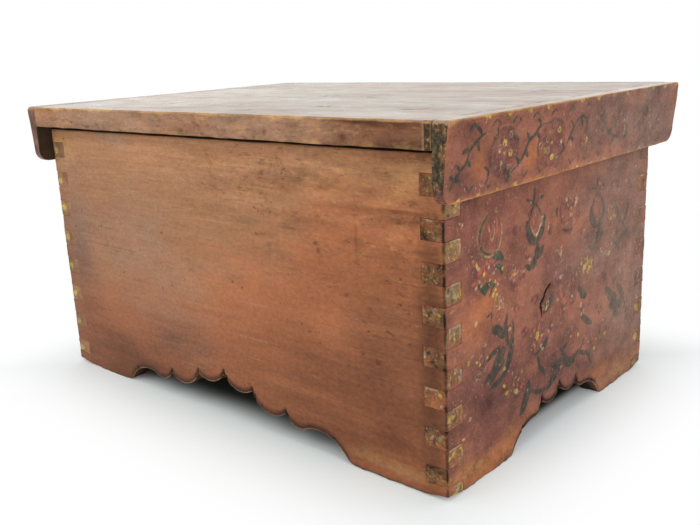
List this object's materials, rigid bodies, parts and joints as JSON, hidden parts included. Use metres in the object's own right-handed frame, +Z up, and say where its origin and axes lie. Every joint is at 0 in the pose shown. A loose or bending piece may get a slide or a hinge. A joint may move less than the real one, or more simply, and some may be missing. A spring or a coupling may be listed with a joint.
{
  "type": "hinged wooden box",
  "caption": "Finger-jointed wooden box on scalloped apron feet, with a flat lid whose end cleats hang over the box ends and turn on wooden pins at the back.",
  "frame": {"origin": "on the floor under the middle of the whole box, lid overhang included", "axes": "+X along the box's length to its right end as seen from the front, -Y to the front where the lid opens, +Z up"},
  "size_m": [0.4252, 0.3048, 0.2258],
  "materials": {
    "painted_wood": "worn red-brown paint with folk flowers",
    "bare_wood": "bare worn wood, darkened by handling",
    "lid_wood": "worn wood with a dull sheen",
    "inner_wood": "raw planed wood",
    "peg_wood": "whittled hardwood, painted over at its outer end"
  },
  "bodies": {
    "case": {"front_board": "painted_wood", "back_board": "bare_wood", "left_end_board": "painted_wood", "right_end_board": "painted_wood", "bottom_board": "inner_wood"},
    "lid": {"lid_board": "lid_wood", "left_cleat": "painted_wood", "right_cleat": "painted_wood", "left_cleat_peg_1": "peg_wood", "left_cleat_peg_2": "peg_wood", "left_cleat_peg_3": "peg_wood", "left_cleat_peg_4": "peg_wood", "right_cleat_peg_1": "peg_wood", "right_cleat_peg_2": "peg_wood", "right_cleat_peg_3": "peg_wood", "right_cleat_peg_4": "peg_wood", "left_hinge_pin": "peg_wood", "right_hinge_pin": "peg_wood"}
  },
  "joints": [
    {"name": "lid_hinge", "type": "hinge", "parent": "case", "child": "lid", "pos_m": [0, 0.1331, 0.2008], "axis": [-1, 0, 0], "range_deg": [0, 95]}
  ]
}
